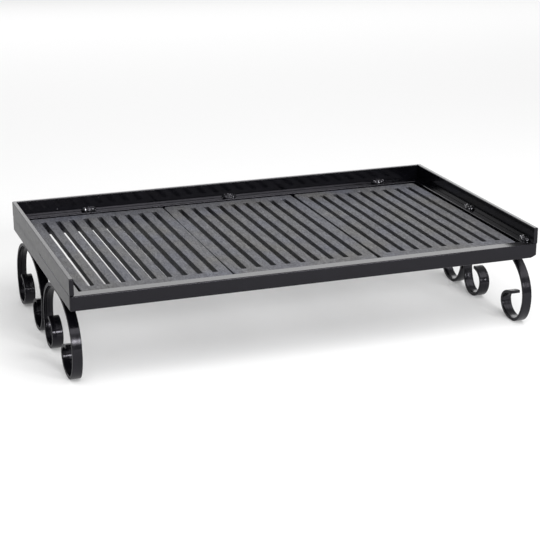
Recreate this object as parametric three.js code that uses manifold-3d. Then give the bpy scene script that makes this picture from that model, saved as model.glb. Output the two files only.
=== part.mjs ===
// Log grate: a welded bar frame with low walls on three sides, three loose cast
// panels with long slots, and four forged arches whose feet curl into scrolls.
// Millimetres. +X to the right, +Y to the back, +Z up. The origin is on the
// hearth, under the middle of the grate.

import * as THREE from 'three';
import { mergeVertices } from 'three/addons/utils/BufferGeometryUtils.js';
import Module from 'manifold-3d';

const wasm = await Module();
wasm.setup();

// ---------------------------------------------------------------- dimensions

// The whole grate.
const GRATE_WIDTH = 711; // outside, left to right
const GRATE_DEPTH = 414; // outside, front to back
const LEG_HEIGHT = 111; // hearth to the crown of each arch
const SEAT_GAP = 0.3; // clearance between two pieces that touch

// Frame rails: solid bar, mitred at the corners.
const RAIL_HEIGHT = 21.5;
const END_RAIL_WIDTH = 19; // front and back rails
const SIDE_RAIL_WIDTH = 17.5; // left and right rails
const RAIL_ROUND = 1.5; // radius on the long edges

// Walls: flat bar on edge, flush with the outside of the rails.
const WALL_HEIGHT = 24.4;
const WALL_THICKNESS = 6.5;
const WALL_ROUND = 1.3; // radius on the long top edges
const WALL_SETBACK = 0.8; // side wall's front end behind the front face

// Ledges: flat bar inside the front and back rails, under the panels.
const LEDGE_REACH = 28;
const LEDGE_THICKNESS = 4;

// Cast panels.
const PANEL_GAPS = [0.7, 0.6, 3.8, 6.1]; // rail, panel, panel, panel, rail, from the left
const PANEL_FRONT_GAP = 1.2; // panel to the front rail
const PANEL_BACK_GAP = 6.8; // panel to the back rail
const PANEL_DROP = 1; // panel top below the rail top
const PANEL_BOW = 1.1; // how far each long edge bows past its ends
const PANEL_CORNER = 3;
const PANEL_EDGE = 0.7; // bevel round the top and the underside
const SLOTS_PER_PANEL = 9;
const SLOT_SIDE_MARGIN = 21.2; // panel's side to the middle of its outermost slot
const SLOT_END_MARGIN = 20; // panel's front and back to the slots' ends
const SLOT_WIDTH = 7.7; // at the top
const SLOT_DRAFT = 4.8; // how much wider each side is at the underside
const SLOT_END_DRAFT = 1.5; // how much longer each end is there
const SLOT_ROUND = 1.8; // corner radius at the slot's ends

// Arched legs: flat bar bent on the flat, two arches at each end.
const LEG_BAR_WIDTH = 14; // along X
const LEG_SCROLL_WIDTH = 16.6; // the forged scroll spreads a little
const LEG_BAR_THICKNESS = 4.8;
const LEG_BAR_EDGE = 0.8; // chamfer on the bar's edges
const LEG_INSET = 0.4; // scroll in from the outside of the side rail
const ARCH_MARGIN = 6; // outside of an arch in from the frame's face
const ARCH_SPACING = 6; // between the two arches at one end
const ARCH_CROWN_FLAT = 24; // straight stretch under the rail
const ARCH_BELLY_HEIGHT = 44.5; // where the arch is widest
const FOOT_SWEEP = 35; // from the belly in to the foot
const FOOT_FLAT = 6; // flat spot that bears on the hearth
const SCROLL_REACH = 34; // from the foot in to the back of the scroll
const SCROLL_HEIGHT = 25.5; // back of the scroll above the hearth
const FRONT_TIP_RISE = 20; // tip of an arch's front scroll above that scroll's back
const BACK_TIP_RISE = 24.5; // the same for its back scroll, which curls higher
const TIP_RETURN = 30; // scroll's tip forward of its back

// Weld beads.
const WALL_WELD_LENGTH = 24;
const WALL_WELD_LEG = 6.5;
const WALL_WELD_TAPER = 0.85; // share of the bead's section that its ends lose
const BACK_WELD_FROM_LEFT = 121.5; // grate's left side to the first bead's middle
const BACK_WELD_FROM_RIGHT = 81.5;
const BACK_WELD_OFF_CENTRE = 4; // middle bead, to the right of the middle
const LEFT_WELD_FROM_FRONT = 55;
const RIGHT_WELD_FROM_FRONT = 27;
const SIDE_WELD_OFF_CENTRE = 3; // second bead, behind the middle
const LEG_WELD_START = 29; // from the middle of the arch
const LEG_WELD_LENGTH = 13;
const LEG_WELD_MARGIN = 1; // bead in from each edge of the bar

// How finely curves are cut.
const CROWN_STEPS = 12;
const BEND_STEPS = 9;
const TIP_STEPS = 6;
const BEAD_STEPS = 8;
const BEAD_SIDES = 4;
const ROUND_STEPS = 3;
const EDGE_STEPS = 2;
const MERGE_DISTANCE = 1e-4;
const CUT_OVERSHOOT = 1; // how far a cutter runs past the faces it cuts

// ------------------------------------------------------------ derived places

const halfWidth = GRATE_WIDTH / 2;
const halfDepth = GRATE_DEPTH / 2;
const railBottom = LEG_HEIGHT + SEAT_GAP;
const railTop = railBottom + RAIL_HEIGHT;
const wallBottom = railTop + SEAT_GAP;
const wallTop = wallBottom + WALL_HEIGHT;
const ledgeTop = railBottom + LEDGE_THICKNESS;
const panelBottom = ledgeTop + SEAT_GAP;
const panelTop = railTop - PANEL_DROP;
const panelHeight = panelTop - panelBottom;
const innerFront = -halfDepth + END_RAIL_WIDTH;
const innerBack = halfDepth - END_RAIL_WIDTH;
const innerHalfWidth = halfWidth - SIDE_RAIL_WIDTH;
const panelCount = PANEL_GAPS.length - 1;
const panelGapSum = PANEL_GAPS.reduce((sum, gap) => sum + gap);
const panelWidth = (2 * innerHalfWidth - panelGapSum) / panelCount;
const panelDepth = innerBack - innerFront - PANEL_FRONT_GAP - PANEL_BACK_GAP;
const panelMidY = innerFront + PANEL_FRONT_GAP + panelDepth / 2;
const slotPitch = (panelWidth - 2 * SLOT_SIDE_MARGIN) / (SLOTS_PER_PANEL - 1);
const slotLength = panelDepth - 2 * SLOT_END_MARGIN;
const sideWallFront = -halfDepth + WALL_SETBACK;
const legMidX = halfWidth - LEG_INSET - LEG_SCROLL_WIDTH / 2;
const archHalf = (halfDepth - ARCH_MARGIN - ARCH_SPACING / 2) / 2;
const archMidY = archHalf + ARCH_SPACING / 2;

// ----------------------------------------------------------------- materials

const finish = (color, roughness, metalness) => new THREE.MeshStandardMaterial({
  color,
  roughness,
  metalness,
});
const framePaint = () => finish(0x2b2a2f, 0.42, 0.4);
const legPaint = () => finish(0x15151b, 0.3, 0.4);
const weldPaint = () => finish(0x1d1c22, 0.35, 0.4);
const castIron = () => finish(0x606164, 0.62, 0.7);

// ------------------------------------------------------------------- helpers

/** Reduce a geometry to shared positions only, with its faces pointing out. */
function closed(geometry) {
  const bare = geometry.clone();
  bare.deleteAttribute('normal');
  bare.deleteAttribute('uv');
  const solid = mergeVertices(bare, MERGE_DISTANCE);
  if (signedVolume(solid) < 0) {
    const index = solid.getIndex();
    for (let i = 0; i < index.count; i += 3) {
      const first = index.getX(i);
      index.setX(i, index.getX(i + 1));
      index.setX(i + 1, first);
    }
  }
  return solid;
}

/** Volume inside a closed mesh, negative when its faces point in. */
function signedVolume(geometry) {
  const position = geometry.getAttribute('position');
  const index = geometry.getIndex();
  const corners = [0, 1, 2].map(() => new THREE.Vector3());
  let volume = 0;
  for (let i = 0; i < index.count; i += 3) {
    corners.forEach((corner, k) => corner.fromBufferAttribute(position, index.getX(i + k)));
    volume += corners[0].dot(corners[1].cross(corners[2])) / 6;
  }
  return volume;
}

/** A solid that can be cut or joined, from a closed geometry. */
function toManifold(geometry) {
  const solid = closed(geometry);
  return new wasm.Manifold(new wasm.Mesh({
    numProp: 3,
    vertProperties: new Float32Array(solid.getAttribute('position').array),
    triVerts: new Uint32Array(solid.getIndex().array),
  }));
}

/** A geometry from a cut or joined solid. */
function fromManifold(manifold) {
  const mesh = manifold.getMesh();
  const geometry = new THREE.BufferGeometry();
  geometry.setAttribute('position', new THREE.BufferAttribute(mesh.vertProperties, 3));
  geometry.setIndex(new THREE.BufferAttribute(mesh.triVerts, 1));
  return geometry;
}

/** A solid through a list of convex rings with equal counts of points. */
function throughRings(rings) {
  const count = rings[0].length;
  const last = (rings.length - 1) * count;
  const indices = [];
  for (let r = 0; r < rings.length - 1; r += 1) {
    for (let i = 0; i < count; i += 1) {
      const a = r * count + i;
      const b = r * count + ((i + 1) % count);
      indices.push(a, b, a + count, b, b + count, a + count);
    }
  }
  for (let i = 1; i < count - 1; i += 1) {
    indices.push(0, i + 1, i);
    indices.push(last, last + i, last + i + 1);
  }
  const geometry = new THREE.BufferGeometry();
  geometry.setAttribute('position', new THREE.Float32BufferAttribute(
    rings.flat().flatMap((point) => point.toArray()),
    3,
  ));
  geometry.setIndex(indices);
  return closed(geometry);
}

/** A rectangle with round corners, centred on the origin. */
function roundedRectangle(width, height, radius) {
  const x = width / 2;
  const y = height / 2;
  const shape = new THREE.Shape();
  shape.moveTo(-x + radius, -y);
  shape.absarc(x - radius, -y + radius, radius, -Math.PI / 2, 0, false);
  shape.absarc(x - radius, y - radius, radius, 0, Math.PI / 2, false);
  shape.absarc(-x + radius, y - radius, radius, Math.PI / 2, Math.PI, false);
  shape.absarc(-x + radius, -y + radius, radius, Math.PI, 1.5 * Math.PI, false);
  return shape;
}

/** Extrude a shape by a length along +Z, centred on z = 0. */
function extrudeCentred(shape, length) {
  const geometry = new THREE.ExtrudeGeometry(shape, {
    depth: length,
    bevelEnabled: false,
    curveSegments: ROUND_STEPS,
  });
  return geometry.translate(0, 0, -length / 2);
}

const grate = new THREE.Group();

/** Put a named piece into the grate. */
function addPiece(name, geometry, material, place = [0, 0, 0]) {
  const mesh = new THREE.Mesh(geometry, material);
  mesh.name = name;
  mesh.position.set(...place);
  grate.add(mesh);
}

// --------------------------------------------------------------- frame rails

/** The plan of a rail whose two ends are cut on the corners' diagonals. */
function mitredPlan(length, width, mitre) {
  const plan = new THREE.Shape();
  const long = length / 2 - SEAT_GAP / 2;
  plan.moveTo(-long, 0);
  plan.lineTo(long, 0);
  plan.lineTo(long - mitre, width);
  plan.lineTo(-long + mitre, width);
  plan.closePath();
  return plan;
}

/**
 * A bar with round long edges, cut to a mitred plan. It lies along X, with its
 * outer face on y = 0 and its inner face at y = width.
 */
function mitredRail(length, width, mitre) {
  const section = roundedRectangle(width, RAIL_HEIGHT, RAIL_ROUND);
  const bar = extrudeCentred(section, length);
  bar.rotateX(Math.PI / 2).rotateZ(Math.PI / 2).translate(0, width / 2, 0);
  const plan = extrudeCentred(mitredPlan(length, width, mitre), 2 * RAIL_HEIGHT);
  return closed(fromManifold(toManifold(bar).intersect(toManifold(plan))));
}

/** Four rails, mitred where they meet. */
function addRails() {
  const z = railBottom + RAIL_HEIGHT / 2;
  const end = mitredRail(GRATE_WIDTH, END_RAIL_WIDTH, SIDE_RAIL_WIDTH);
  const side = mitredRail(GRATE_DEPTH, SIDE_RAIL_WIDTH, END_RAIL_WIDTH);
  addPiece('front_rail', end, framePaint(), [0, -halfDepth, z]);
  addPiece('back_rail', end.clone().rotateZ(Math.PI), framePaint(), [0, halfDepth, z]);
  addPiece('left_rail', side.clone().rotateZ(-Math.PI / 2), framePaint(), [-halfWidth, 0, z]);
  addPiece('right_rail', side.clone().rotateZ(Math.PI / 2), framePaint(), [halfWidth, 0, z]);
}

// --------------------------------------------------------------------- walls

/** Flat bar on edge along X, with its two long top edges rounded. */
function wallBar(length) {
  const y = WALL_THICKNESS / 2;
  const section = new THREE.Shape();
  section.moveTo(-y, 0);
  section.lineTo(y, 0);
  section.absarc(y - WALL_ROUND, WALL_HEIGHT - WALL_ROUND, WALL_ROUND, 0, Math.PI / 2, false);
  section.absarc(-y + WALL_ROUND, WALL_HEIGHT - WALL_ROUND, WALL_ROUND, Math.PI / 2, Math.PI, false);
  const bar = extrudeCentred(section, length);
  return closed(bar.rotateX(Math.PI / 2).rotateZ(Math.PI / 2));
}

/** Two side walls, with the back wall between them. */
function addWalls() {
  const sideLength = halfDepth - sideWallFront;
  const backLength = GRATE_WIDTH - 2 * (WALL_THICKNESS + SEAT_GAP);
  const sideX = halfWidth - WALL_THICKNESS / 2;
  const sideY = sideWallFront + sideLength / 2;
  const backY = halfDepth - WALL_THICKNESS / 2;
  const side = wallBar(sideLength).rotateZ(Math.PI / 2);
  addPiece('left_wall', side, framePaint(), [-sideX, sideY, wallBottom]);
  addPiece('right_wall', side.clone(), framePaint(), [sideX, sideY, wallBottom]);
  addPiece('back_wall', wallBar(backLength), framePaint(), [0, backY, wallBottom]);
}

// -------------------------------------------------------------------- ledges

/** Flat bars along the front and back rails, which carry the panels. */
function addLedges() {
  const length = 2 * (innerHalfWidth - SEAT_GAP);
  const reach = LEDGE_REACH - SEAT_GAP;
  const bar = closed(new THREE.BoxGeometry(length, reach, LEDGE_THICKNESS));
  const z = railBottom + LEDGE_THICKNESS / 2;
  const inset = SEAT_GAP + reach / 2;
  addPiece('front_ledge', bar, framePaint(), [0, innerFront + inset, z]);
  addPiece('back_ledge', bar.clone(), framePaint(), [0, innerBack - inset, z]);
}

// -------------------------------------------------------------------- panels

/** A panel's outline, with round corners and long edges that bow out. */
function panelOutline() {
  const x = panelWidth / 2 - PANEL_BOW;
  const y = panelDepth / 2;
  const r = PANEL_CORNER;
  const control = x + 2 * PANEL_BOW;
  const outline = new THREE.Shape();
  outline.moveTo(-x + r, -y);
  outline.absarc(x - r, -y + r, r, -Math.PI / 2, 0, false);
  outline.quadraticCurveTo(control, 0, x, y - r);
  outline.absarc(x - r, y - r, r, 0, Math.PI / 2, false);
  outline.absarc(-x + r, y - r, r, Math.PI / 2, Math.PI, false);
  outline.quadraticCurveTo(-control, 0, -x, -y + r);
  outline.absarc(-x + r, -y + r, r, Math.PI, 1.5 * Math.PI, false);
  return outline;
}

/** The cutter for one slot, wider at the underside so that ash drops through. */
function slotCutter() {
  const slope = SLOT_DRAFT / panelHeight;
  const endSlope = SLOT_END_DRAFT / panelHeight;
  return throughRings([CUT_OVERSHOOT, -panelHeight - CUT_OVERSHOOT].map((z) => {
    const width = SLOT_WIDTH - 2 * slope * z;
    const length = slotLength - 2 * endSlope * z;
    const outline = roundedRectangle(width, length, SLOT_ROUND);
    const points = outline.getPoints(ROUND_STEPS);
    return points.slice(0, -1).map((point) => new THREE.Vector3(point.x, point.y, z));
  }));
}

/** One cast panel with its slots, its top on z = 0. */
function castPanel() {
  const plate = new THREE.ExtrudeGeometry(panelOutline(), {
    depth: panelHeight - 2 * PANEL_EDGE,
    bevelThickness: PANEL_EDGE,
    bevelSize: PANEL_EDGE,
    bevelOffset: -PANEL_EDGE,
    bevelSegments: EDGE_STEPS,
    curveSegments: 2 * ROUND_STEPS,
  }).translate(0, 0, -panelHeight + PANEL_EDGE);
  let panel = toManifold(plate);
  for (let i = 0; i < SLOTS_PER_PANEL; i += 1) {
    const x = (i - (SLOTS_PER_PANEL - 1) / 2) * slotPitch;
    panel = panel.subtract(toManifold(slotCutter().translate(x, 0, 0)));
  }
  return closed(fromManifold(panel));
}

/** Three loose panels, laid side by side from the left rail. */
function addPanels() {
  const panel = castPanel();
  let left = -innerHalfWidth;
  ['left', 'centre', 'right'].forEach((side, i) => {
    left += PANEL_GAPS[i];
    const place = [left + panelWidth / 2, panelMidY, panelTop];
    addPiece(`${side}_grate_panel`, panel.clone(), castIron(), place);
    left += panelWidth;
  });
}

// ---------------------------------------------------------------------- legs

const footMid = archHalf - FOOT_SWEEP;
const scrollBack = footMid - SCROLL_REACH;
const crownHalf = ARCH_CROWN_FLAT / 2;
const crownRise = LEG_HEIGHT - ARCH_BELLY_HEIGHT;

/** Height of the arch's outer face at a distance from the arch's middle. */
function crownHeight(distance) {
  const run = Math.max(distance - crownHalf, 0) / (archHalf - crownHalf);
  return ARCH_BELLY_HEIGHT + crownRise * Math.sqrt(1 - run * run);
}

/**
 * One half of an arch's outer face, from the crown to the scroll's tip: a list
 * of places with the direction that points into the bar, and the share of the
 * scroll's spread reached there.
 */
function halfArch(tipRise) {
  const half = FOOT_FLAT / 2;
  const quarter = Math.PI / 2;
  const tipX = scrollBack + TIP_RETURN;
  const bends = [
    [crownHalf, ARCH_BELLY_HEIGHT, archHalf - crownHalf, crownRise, quarter, 0, CROWN_STEPS],
    [footMid + half, ARCH_BELLY_HEIGHT, FOOT_SWEEP - half, ARCH_BELLY_HEIGHT, 0, -quarter, BEND_STEPS],
    [footMid - half, SCROLL_HEIGHT, SCROLL_REACH - half, SCROLL_HEIGHT, -quarter, -2 * quarter, BEND_STEPS],
    [tipX, SCROLL_HEIGHT, TIP_RETURN, tipRise, 2 * quarter, quarter, TIP_STEPS],
  ];
  const places = [];
  bends.forEach(([u, z, a, b, from, to, steps], bend) => {
    const first = bend === 1 || bend === 3 ? 1 : 0;
    for (let i = first; i <= steps; i += 1) {
      const angle = from + ((to - from) * i) / steps;
      const inward = new THREE.Vector2(-Math.cos(angle) / a, -Math.sin(angle) / b);
      places.push({
        outer: new THREE.Vector2(u + a * Math.cos(angle), z + b * Math.sin(angle)),
        inward: inward.normalize(),
        spread: THREE.MathUtils.smoothstep(bend + i / steps, 1, 3),
      });
    }
  });
  return places;
}

/** Flat bar bent to the arch, as rings of the bar's chamfered section. */
function archGeometry() {
  const back = halfArch(BACK_TIP_RISE);
  const front = halfArch(FRONT_TIP_RISE).reverse().map(({ outer, inward, spread }) => ({
    outer: new THREE.Vector2(-outer.x, outer.y),
    inward: new THREE.Vector2(-inward.x, inward.y),
    spread,
  }));
  const edge = LEG_BAR_EDGE;
  const thick = LEG_BAR_THICKNESS;
  return throughRings([...front, ...back].map(({ outer, inward, spread }) => {
    const w = THREE.MathUtils.lerp(LEG_BAR_WIDTH, LEG_SCROLL_WIDTH, spread) / 2;
    const section = [
      [-w, edge], [-w + edge, 0], [w - edge, 0], [w, edge],
      [w, thick - edge], [w - edge, thick], [-w + edge, thick], [-w, thick - edge],
    ];
    return section.map(([x, depth]) => {
      const point = outer.clone().addScaledVector(inward, depth);
      return new THREE.Vector3(x, point.x, point.y);
    });
  }));
}

/** The bead that fills the wedge between the arch and the rail above it. */
function legWeldGeometry() {
  const end = LEG_WELD_START + LEG_WELD_LENGTH;
  const top = railBottom - SEAT_GAP;
  const bead = new THREE.Shape();
  bead.moveTo(LEG_WELD_START, top);
  for (let i = 0; i <= BEAD_SIDES; i += 1) {
    const u = LEG_WELD_START + (LEG_WELD_LENGTH * i) / BEAD_SIDES;
    bead.lineTo(u, crownHeight(u) + SEAT_GAP);
  }
  bead.quadraticCurveTo(end - SEAT_GAP, (crownHeight(end) + top) / 2, end, top);
  const geometry = extrudeCentred(bead, LEG_BAR_WIDTH - 2 * LEG_WELD_MARGIN);
  return closed(geometry.rotateX(Math.PI / 2).rotateZ(Math.PI / 2));
}

/** Four arches, each welded to its side rail at two places. */
function addLegs() {
  const arch = archGeometry();
  const weld = legWeldGeometry();
  for (const [end, y] of [['front', -archMidY], ['back', archMidY]]) {
    for (const [side, x] of [['left', -legMidX], ['right', legMidX]]) {
      const name = `${end}_${side}_leg`;
      addPiece(name, arch.clone(), legPaint(), [x, y, 0]);
      addPiece(`${name}_back_weld`, weld.clone(), weldPaint(), [x, y, 0]);
      addPiece(`${name}_front_weld`, weld.clone().rotateZ(Math.PI), weldPaint(), [x, y, 0]);
    }
  }
}

// --------------------------------------------------------------- wall welds

/** A fillet bead along X in a corner: up the wall at +Y, and along the floor. */
function wallWeldGeometry() {
  const rings = [];
  for (let i = 0; i <= BEAD_STEPS; i += 1) {
    const along = -1 + (2 * i) / BEAD_STEPS;
    const size = WALL_WELD_LEG * Math.sqrt(1 - WALL_WELD_TAPER * along * along);
    const x = (along * WALL_WELD_LENGTH) / 2;
    const ring = [new THREE.Vector3(x, 0, 0)];
    for (let k = 0; k <= BEAD_SIDES; k += 1) {
      const angle = (Math.PI / 2) * (k / BEAD_SIDES);
      ring.push(new THREE.Vector3(x, -size * Math.cos(angle), size * Math.sin(angle)));
    }
    rings.push(ring);
  }
  return throughRings(rings);
}

/** Beads along the foot of each wall, on the inside. */
function addWallWelds() {
  const bead = wallWeldGeometry();
  const clear = WALL_THICKNESS + SEAT_GAP;
  const z = railTop + SEAT_GAP;
  const backPlaces = {
    left: -halfWidth + BACK_WELD_FROM_LEFT,
    centre: BACK_WELD_OFF_CENTRE,
    right: halfWidth - BACK_WELD_FROM_RIGHT,
  };
  for (const [place, x] of Object.entries(backPlaces)) {
    const at = [x, halfDepth - clear, z];
    addPiece(`back_wall_weld_${place}`, bead.clone(), weldPaint(), at);
  }
  const sideX = halfWidth - clear;
  const sides = [['left', 1, LEFT_WELD_FROM_FRONT], ['right', -1, RIGHT_WELD_FROM_FRONT]];
  for (const [side, turn, fromFront] of sides) {
    const sideBead = bead.clone().rotateZ((turn * Math.PI) / 2);
    const places = { front: -halfDepth + fromFront, back: SIDE_WELD_OFF_CENTRE };
    for (const [place, y] of Object.entries(places)) {
      const at = [-turn * sideX, y, z];
      addPiece(`${side}_wall_weld_${place}`, sideBead.clone(), weldPaint(), at);
    }
  }
}

// ------------------------------------------------------------------ assembly

addRails();
addWalls();
addLedges();
addPanels();
addLegs();
addWallWelds();

export default grate;
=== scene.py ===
"""Log grate: painted bar frame, bare cast panels, glossy forged arches and weld beads.

Metres, +X to the right along the front rail, +Y to the back wall, +Z up. The origin is on
the hearth, under the middle of the grate. The pieces take their places from the frame's boxes.
"""

import logging
import math
from dataclasses import dataclass
from enum import Enum

import bmesh
import bpy
import numpy as np
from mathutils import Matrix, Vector


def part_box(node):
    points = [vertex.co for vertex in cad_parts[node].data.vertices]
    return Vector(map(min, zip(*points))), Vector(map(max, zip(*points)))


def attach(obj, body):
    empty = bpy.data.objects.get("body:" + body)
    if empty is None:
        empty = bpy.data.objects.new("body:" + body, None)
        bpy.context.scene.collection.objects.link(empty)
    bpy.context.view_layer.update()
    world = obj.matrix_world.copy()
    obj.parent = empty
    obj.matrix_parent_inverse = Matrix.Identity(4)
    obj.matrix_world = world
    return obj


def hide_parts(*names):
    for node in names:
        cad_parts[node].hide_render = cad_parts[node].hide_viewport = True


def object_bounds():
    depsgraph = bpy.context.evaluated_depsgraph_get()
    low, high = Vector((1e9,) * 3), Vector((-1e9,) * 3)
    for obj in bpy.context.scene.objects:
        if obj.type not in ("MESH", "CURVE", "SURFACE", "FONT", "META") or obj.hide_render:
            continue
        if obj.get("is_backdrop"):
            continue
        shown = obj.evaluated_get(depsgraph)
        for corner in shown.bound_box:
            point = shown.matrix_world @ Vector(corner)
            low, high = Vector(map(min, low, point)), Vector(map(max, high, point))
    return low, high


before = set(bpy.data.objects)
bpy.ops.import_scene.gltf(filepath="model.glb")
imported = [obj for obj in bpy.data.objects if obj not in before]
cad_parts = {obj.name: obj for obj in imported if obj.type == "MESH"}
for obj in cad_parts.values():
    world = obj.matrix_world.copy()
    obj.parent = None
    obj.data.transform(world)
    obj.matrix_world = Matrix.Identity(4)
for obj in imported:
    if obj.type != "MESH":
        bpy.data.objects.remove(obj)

LOG = logging.getLogger("log_grate")
MM = 0.001
QUARTER = math.pi / 2
DIAGONAL = math.cos(math.pi / 4)
CORNERS = ((1, 1), (-1, 1), (-1, -1), (1, -1))  # signs of a rectangle's corners, anticlockwise
HAIR = 1e-6  # places closer than this are taken as one, metres
DIGITS = 7  # decimals of a metre that tell two places apart
NOISE_LOW, NOISE_HIGH = 0.3, 0.7  # most values of a noise lie between these
FACING_X = (0.4, 0.8)  # square of a normal's X where a face starts and ends turning sideways

Triple = tuple[float, float, float]
Piece = bpy.types.Object
Material = bpy.types.Material
Socket = bpy.types.NodeSocket


class Side(Enum):
    """The two ends of the grate, with the sign of their X."""

    LEFT = -1
    RIGHT = 1


class End(Enum):
    """The front and the back, with the sign of their Y."""

    FRONT = -1
    BACK = 1


# ---- mesh making


def put_mesh(name: str, points: np.ndarray, faces: list[np.ndarray]) -> Piece:
    """Put vertices and faces into a new object at the origin, closed and facing out.

    Args:
        name: the piece's name.
        points: vertices, shape (n, 3), in metres.
        faces: arrays of vertex indices, each of shape (faces, corners).

    Returns:
        The linked object.
    """
    mesh = bpy.data.meshes.new(name)
    loops = np.concatenate([part.ravel() for part in faces]).astype(np.int32)
    sizes = np.concatenate([np.full(len(part), part.shape[1]) for part in faces])
    starts = np.concatenate([[0], np.cumsum(sizes)[:-1]]).astype(np.int32)
    mesh.vertices.add(len(points))
    mesh.vertices.foreach_set("co", points.astype(np.float32).ravel())
    mesh.loops.add(len(loops))
    mesh.loops.foreach_set("vertex_index", loops)
    mesh.polygons.add(len(sizes))
    mesh.polygons.foreach_set("loop_start", starts)
    mesh.update(calc_edges=True)
    close_up(mesh)
    piece = bpy.data.objects.new(name, mesh)
    bpy.context.scene.collection.objects.link(piece)
    even_normals(piece)
    return piece


def even_normals(piece: Piece) -> None:
    """Weigh the piece's normals by face area, so that flat faces are shaded flat.

    Args:
        piece: the piece, whose mesh is replaced.
    """
    piece.modifiers.new("even_normals", "WEIGHTED_NORMAL").keep_sharp = True
    bare = piece.data
    graph = bpy.context.evaluated_depsgraph_get()
    piece.data = bpy.data.meshes.new_from_object(piece.evaluated_get(graph))
    piece.modifiers.clear()
    bpy.data.meshes.remove(bare)
    piece.data.name = piece.name


def close_up(mesh: bpy.types.Mesh, merge: float = 2e-6, sharp: float = 42.0) -> None:
    """Merge doubled vertices, point the faces out and shade smooth up to an angle.

    Args:
        mesh: the mesh, changed in place.
        merge: distance under which two vertices are one, in metres.
        sharp: angle in degrees past which an edge stays sharp.
    """
    work = bmesh.new()
    work.from_mesh(mesh)
    bmesh.ops.remove_doubles(work, verts=work.verts, dist=merge)
    bmesh.ops.recalc_face_normals(work, faces=work.faces)
    work.to_mesh(mesh)
    work.free()
    mesh.shade_smooth()
    mesh.set_sharp_from_angle(angle=math.radians(sharp))


def grid_faces(rows: int, columns: int) -> np.ndarray:
    """Quads of a grid whose rows are closed rings.

    Args:
        rows: count of rows.
        columns: count of points in each row.

    Returns:
        Vertex indices, shape (quads, 4), counted row by row.
    """
    row, column = np.meshgrid(np.arange(rows - 1), np.arange(columns), indexing="ij")
    after = (column + 1) % columns
    here = row * columns
    quads = [here + column, here + after, here + columns + after, here + columns + column]
    return np.stack(quads, axis=-1).reshape(-1, 4)


def unit(vectors: np.ndarray) -> np.ndarray:
    """Vectors brought to a length of one."""
    return vectors / np.linalg.norm(vectors, axis=-1, keepdims=True)


def swept_solid(name: str, rings: np.ndarray) -> Piece:
    """A closed solid through rings of points, with a flat face on its first and last ring.

    Args:
        name: the piece's name.
        rings: shape (rings, points, 3).

    Returns:
        The new piece.
    """
    count, around = rings.shape[:2]
    first = np.arange(around)[None, ::-1]
    last = (np.arange(around) + (count - 1) * around)[None, :]
    return put_mesh(name, rings.reshape(-1, 3), [grid_faces(count, around), first, last])


def round_rectangle(width: float, depth: float, radii: np.ndarray, steps: int = 6) -> np.ndarray:
    """Outline of a rectangle with round corners, about the origin.

    Each corner is a quarter circle, its centre one radius in from both sides.

    Args:
        width: along the first axis.
        depth: along the second axis.
        radii: of the corners, anticlockwise from the one where both axes are positive.
        steps: spans in each quarter circle.

    Returns:
        Points anticlockwise, shape (4 * (steps + 1), 2).
    """
    turn = np.linspace(0, QUARTER, steps + 1)
    angle = (np.arange(4)[:, None] * QUARTER + turn).ravel()
    radius = np.repeat(np.broadcast_to(radii, 4), steps + 1)[:, None]
    corner = np.repeat(CORNERS, steps + 1, axis=0)
    centre = corner * (np.array([width, depth]) / 2 - radius)
    return centre + radius * np.stack([np.cos(angle), np.sin(angle)], axis=-1)


def rounded_levels(height: float, under: float, over: float, steps: int = 5) -> np.ndarray:
    """Levels of an upright solid whose lower and upper edges are rounded.

    Each edge is a quarter circle: the outline is drawn in by the radius on the flat face
    and by nothing on the side.

    Args:
        height: of the solid.
        under: radius of the lower edge.
        over: radius of the upper edge.
        steps: spans in each edge.

    Returns:
        Height and draw-in of each level, shape (levels, 2).
    """
    turn = np.linspace(0, QUARTER, steps + 1)
    lower = np.stack([under * (1 - np.cos(turn)), under * (1 - np.sin(turn))], axis=-1)
    upper = np.stack([height - over * (1 - np.sin(turn)), over * (1 - np.cos(turn))], axis=-1)
    return np.concatenate([lower, upper])


def smooth_waves(along: np.ndarray, seed: int, length: float, size: float) -> np.ndarray:
    """Slow uneven waves along a piece: four sines of unlike length and seeded phase.

    Args:
        along: places along the piece, metres.
        seed: of the phases, so that each run gives the same piece.
        length: of the longest wave, metres.
        size: largest height either way, metres.

    Returns:
        Heights, of along's shape.
    """
    draw = np.random.default_rng(seed)
    stretches = np.array([1, 0.57, 0.34, 0.21])
    phases = draw.uniform(0, 2 * math.pi, len(stretches))
    waves = np.sin(2 * math.pi * along[..., None] / (length * stretches) + phases)
    return size * (waves * stretches).sum(-1) / stretches.sum()


# ---- finishes


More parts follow.
